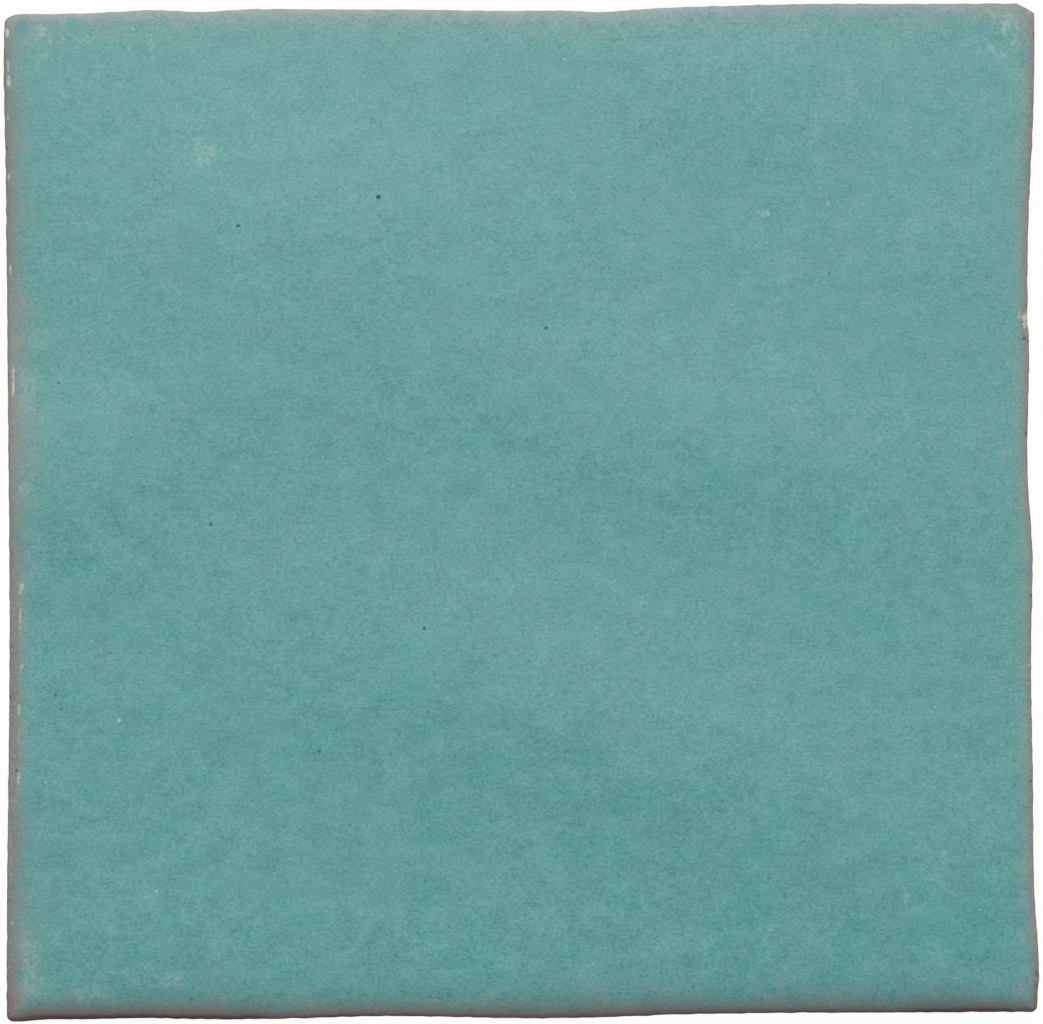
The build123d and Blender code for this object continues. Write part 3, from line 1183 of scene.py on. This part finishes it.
@dataclass(frozen=True)
class GlazedClay:
    """The tile's finish: a satin sea-green glaze that thins out at the arris, and bare fired clay below it.

    A band is a pair: the value at which something begins to show, and the value at which it shows fully.
    """

    name: str = "glazed_clay"

    # The colours
    glaze: Colour = (0.080, 0.307, 0.290)
    warm_glaze: Colour = (0.098, 0.301, 0.287)
    tone: Colour = (0.18, 0.305, 0.298)
    blueness: Colour = (0.0, -0.010, 0.056)
    rim_tone: Colour = (0.12, 0.14, 0.135)
    blue_pool: Colour = (0.075, 0.278, 0.298)
    green_pool: Colour = (0.090, 0.325, 0.285)
    speck: Colour = (0.018, 0.098, 0.102)
    dot: Colour = (0.25, 0.56, 0.55)
    scuff: Colour = (0.275, 0.44, 0.415)
    fleck: Colour = (0.45, 0.49, 0.43)
    cream: Colour = (0.56, 0.53, 0.48)
    stained_cream: Colour = (0.44, 0.35, 0.28)
    # Painted shade for the clay's pores, and the dark of iron specks on the clay
    pore_shade_and_speck: Colour = (0.10, 0.07, 0.06)

    # The noise of the borders, the glaze and the clay
    ragged: Cloud = Cloud(size=0.5, roughness=0.7)
    grain: Cloud = Cloud(size=0.24, detail=1.0, roughness=1.0, squeeze=(0.75, 1.0, 1.0))
    mottle: Cloud = Cloud(size=2.7, detail=4.0, roughness=1.0, squeeze=(0.7, 1.0, 1.0))
    hues: Cloud = Cloud(size=3.2, detail=3.0, roughness=1.0)
    strokes: Cloud = Cloud(size=0.8, roughness=0.9, squeeze=(1.0, 0.6, 1.0))
    shake_size: float = 0.9
    shake: float = 0.5
    clay_mottle: Cloud = Cloud(size=2.6, detail=4.0, roughness=0.6)
    knife_streaks: Cloud = Cloud(size=1.0, detail=3.0, squeeze=(0.14, 0.14, 2.4))

    # The borders of the glaze and of its breaks
    crumb_ragged: float = 1.4
    crumb_grain: float = 1.8
    border_rough: float = 0.35
    bare_band: Band = (0.3, 0.7)
    cream_band: Band = (0.25, 0.75)
    fleck_band: Band = (0.2, 0.9)

    # The glaze
    grain_shade: float = 0.73
    mottle_shade: float = 0.68
    pepper_shade: float = 0.07
    pepper_band: Band = (-0.13, -0.28)
    hue_band: Band = (-0.2, 0.2)
    wisp_band: Band = (-0.12, 0.16)
    scuff_haze: float = 0.1
    scuff_wisps: float = 0.9
    pool_haze: float = 0.5
    patch_mottle: float = 4.0
    patch_ragged: float = 2.5
    patch_grain: float = 2.0
    glaze_roughness: float = 0.44
    mottle_matt: float = 0.2
    rim_matt: float = 0.4
    speck_matt: float = 0.5
    film: float = 0.03
    grain_relief: float = 0.003

    # The marks
    mark_height: float = 11.2
    mark_reach: float = 1.5
    mark_band: Band = (1.25, 0.35)

    # The clay
    clay_roughness: float = 0.9
    clay_patches: float = 0.5
    clay_grain: float = 0.85
    clay_streaks: float = 0.35
    grit_per_mm: float = 1.1
    grit_band: Band = (0.16, 0.08)
    grit_shade: float = 0.5
    pores_per_mm: float = 0.62
    pore_band: Band = (0.14, 0.05)
    stain_band: Band = (0.1, -0.15)
    ragged_relief: float = 0.05
    streak_relief: float = 0.06
    pore_relief: float = 0.08

    def build(self) -> bpy.types.Material:
        """Makes the material: the glaze's shader and the clay's, with the glaze's border between them.

        Returns:
            The material, ready to be worn.
        """
        tree = FinishTree(self.name)
        place = tree.scaled(tree.node("ShaderNodeTexCoord", {}, {}, "Object"), 1 / METRES)
        ragged = tree.noise(place, self.ragged)
        grain = tree.noise(place, self.grain)
        crumbs = 1 + self.crumb_ragged * ragged + self.crumb_grain * grain
        chipped = tree.band(tree.value_of("cream") * crumbs, self.cream_band)
        flecked = tree.band(tree.value_of("fleck") * crumbs, self.fleck_band)
        worn = tree.value_of("bare") + self.border_rough * (ragged + grain)
        bare = tree.band(worn, self.bare_band).at_least(chipped)
        specks = self.marked(tree, place, Mark.SPECK)
        layers = Layers(tree, place, ragged, grain, bare, chipped, flecked, specks)
        shaders = {0: bare, 1: self.glaze_shader(layers), 2: self.clay_shader(layers)}
        return tree.finished(tree.node("ShaderNodeMixShader", {}, shaders))

    def glaze_shader(self, layers: Layers) -> Field:
        """The glaze: grain, mottle, pepper and marks, thinning to the rim's tint with pale flecks.

        Args:
            layers: What the two shaders share.

        Returns:
            The shader.
        """
        tree, place, grain = layers.tree, layers.place, layers.grain

        # The open glaze
        mottle = tree.noise(place, self.mottle)
        hues = tree.noise(place, self.hues)
        pepper = tree.band(grain, self.pepper_band)
        shade = self.grain_shade * grain + self.mottle_shade * mottle - self.pepper_shade * pepper
        colour = tree.mix(tree.band(hues, self.hue_band), self.glaze, self.warm_glaze)
        colour = tree.vector("MULTIPLY_ADD", shade, self.tone, colour)
        colour = tree.vector("MULTIPLY_ADD", hues, self.blueness, colour)

        # The scuffs and pinholes
        shaken = tree.shaken(place, self.shake_size, self.shake)
        wisps = tree.band(tree.noise(shaken, self.strokes), self.wisp_band)
        strokes = self.scuff_haze + self.scuff_wisps * (wisps + grain)
        colour = tree.mix(self.marked(tree, shaken, Mark.SCUFF) * strokes, colour, self.scuff)
        colour = tree.mix(self.marked(tree, place, Mark.DOT), colour, self.dot)

        # The patchy thinning towards the rim
        thin = tree.value_of("thin")
        patches = self.patch_mottle * mottle + self.patch_ragged * layers.ragged + self.patch_grain * grain
        # The rim's tint holds painted light on the top side and painted shade on the bottom side.
        tint = tree.vector("MULTIPLY_ADD", shade, self.rim_tone, tree.value_of("tint", "Vector"))
        colour = tree.mix(thin + thin * (1 - thin) * patches, colour, tint)

        # The pools, the broken edge and the iron specks
        streaky = self.pool_haze + (1 - self.pool_haze) * wisps
        colour = tree.mix(self.marked(tree, shaken, Mark.BLUE) * streaky, colour, self.blue_pool)
        colour = tree.mix(self.marked(tree, shaken, Mark.GREEN) * streaky, colour, self.green_pool)
        colour = tree.mix(layers.flecked, colour, self.fleck)
        colour = tree.mix(layers.specks, colour, self.speck)

        roughness = self.glaze_roughness + self.mottle_matt * mottle + self.rim_matt * thin
        relief = self.grain_relief * grain - self.film * layers.bare
        return tree.skin(colour, roughness + self.speck_matt * layers.specks, relief)

    def clay_shader(self, layers: Layers) -> Field:
        """Fired clay: warm mottle, knife streaks along the sides, pale grit, painted shade in pores, and
        fresh breaks.

        Args:
            layers: What the two shaders share.

        Returns:
            The shader.
        """
        tree, place, ragged = layers.tree, layers.place, layers.ragged
        patches = tree.noise(place, self.clay_mottle) + ragged
        streaks = tree.noise(place, self.knife_streaks)
        shade = 1 + self.clay_patches * patches + self.clay_grain * layers.grain + self.clay_streaks * streaks
        # The arris's clay colour from the points is darkened on the bottom side as painted shade.
        colour = tree.scaled(tree.value_of("clay", "Vector"), shade)
        colour = tree.scaled(colour, 1 + tree.dots(place, self.grit_per_mm, self.grit_band, self.grit_shade))
        # The pores are small pits, and their dark colour is painted shade in them.
        pores = tree.dots(place, self.pores_per_mm, self.pore_band)
        colour = tree.mix(pores, colour, self.pore_shade_and_speck)
        fresh = tree.mix(tree.band(ragged, self.stain_band), self.cream, self.stained_cream)
        colour = tree.mix(layers.chipped, colour, fresh)
        # The iron specks show on the clay in the same dark colour.
        colour = tree.mix(layers.specks, colour, self.pore_shade_and_speck)
        relief = self.ragged_relief * ragged + self.streak_relief * streaks - self.pore_relief * pores
        return tree.skin(colour, self.clay_roughness, relief)

    def marked(self, tree: FinishTree, place: Field, kind: Mark) -> Field:
        """Where the marks of one kind lie.

        Each fades from its strength at its middle to 0 past its edge. They lie at about the height of the
        face, and don't reach down the sides.

        Args:
            tree: The material's tree.
            place: Where the surface is, in millimetres.
            kind: Which marks are meant.

        Returns:
            The strength of the marks.
        """
        spots = []
        for mark in MARKS[kind]:
            scale = (1 / mark.half_x, 1 / mark.half_y, 1 / self.mark_reach)
            shift = (-mark.x / mark.half_x, -mark.y / mark.half_y, -self.mark_height / self.mark_reach)
            offset = tree.vector("MULTIPLY_ADD", place, scale, shift)
            distance = tree.vector("LENGTH", offset, output="Value")
            spots.append(tree.band(distance, self.mark_band, mark.strength))
        return reduce(Field.at_least, spots)


@dataclass(frozen=True)
class Studio:
    """The plain studio, in metres: a white floor, a soft lamp above the top side, even light, a camera."""

    floor_size: float = 12.0
    floor_depth: float = 0.00004
    floor_colour: Colour = (0.45, 0.45, 0.45)
    floor_glow: float = 0.97
    lamp_place: tuple[float, float, float] = (-0.12, 1.4, 2.64)
    lamp_size: float = 1.68
    lamp_power: float = 88.0
    fill: float = 0.20
    lens: float = 200.0
    sensor: float = 36.0
    view_width: float = 0.10225
    view_height: float = 0.0100

    def build(self) -> None:
        """Sets up the floor, the light and the camera."""
        self.lay_floor()
        self.light()
        self.place_camera()
        bpy.context.scene.view_settings.view_transform = "Standard"

    def lay_floor(self) -> None:
        """A wide plane just under the tile, white to the camera and in reflections, that keeps its shadow."""
        tree = FinishTree("white_floor")
        kinds = ("Camera", "Glossy", "Transmission")
        rays = [tree.node("ShaderNodeLightPath", {}, {}, f"Is {kind} Ray") for kind in kinds]
        seen = reduce(Field.at_least, rays) * self.floor_glow
        matt = tree.node("ShaderNodeBsdfDiffuse", {}, {"Color": (*self.floor_colour, 1.0)})
        glow = tree.node("ShaderNodeEmission", {}, {"Color": WHITE, "Strength": 1.0})
        white = tree.finished(tree.node("ShaderNodeMixShader", {}, {0: seen, 1: matt, 2: glow}))
        run = np.array([-0.5, 0.5]) * self.floor_size
        x, y = np.meshgrid(run, run, indexing="ij")
        points = np.stack([x, y, np.full_like(x, -self.floor_depth)], axis=-1).reshape(-1, 3)
        mesh = bpy.data.meshes.new("studio_floor")
        mesh.from_pydata(points, [], cell_corners(np.arange(4).reshape(2, 2)).tolist())
        mesh.materials.append(white)
        floor = bpy.data.objects.new("studio_floor", mesh)
        bpy.context.scene.collection.objects.link(floor)

    def light(self) -> None:
        """One square lamp that faces the tile, and an even white world."""
        data = bpy.data.lights.new("soft_lamp", "AREA")
        data.shape = "SQUARE"
        data.size = self.lamp_size
        data.energy = self.lamp_power
        lamp = bpy.data.objects.new("soft_lamp", data)
        lamp.location = self.lamp_place
        across, along, up = self.lamp_place
        lamp.rotation_euler = (-math.atan2(along, up), math.atan2(across, math.hypot(along, up)), 0.0)
        bpy.context.scene.collection.objects.link(lamp)
        world = bpy.data.worlds.new("even_light")
        world.use_nodes = True
        background = world.node_tree.nodes["Background"]
        background.inputs["Color"].default_value = WHITE
        background.inputs["Strength"].default_value = self.fill
        bpy.context.scene.world = world

    def place_camera(self) -> None:
        """A long lens straight above the tile, far enough up for the photograph's frame."""
        data = bpy.data.cameras.new("camera")
        data.lens = self.lens
        data.sensor_width = self.sensor
        camera = bpy.data.objects.new("camera", data)
        camera.location = (0.0, 0.0, self.view_height + self.view_width * self.lens / self.sensor)
        bpy.context.scene.collection.objects.link(camera)
        bpy.context.scene.camera = camera


def main() -> None:
    """Loads the frame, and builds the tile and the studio."""
    logging.basicConfig(level=logging.INFO, format="%(name)s: %(message)s")
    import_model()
    tile = ZelligeTile(HandCutOutline(SIDES, CORNERS))
    piece = tile.build().to_object("glazed_tile", GlazedClay().build())
    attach(piece, BODY)
    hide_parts(NODE)
    LOG.info("%s: %d faces", piece.name, len(piece.data.polygons))
    Studio().build()


if __name__ == "__main__":
    main()
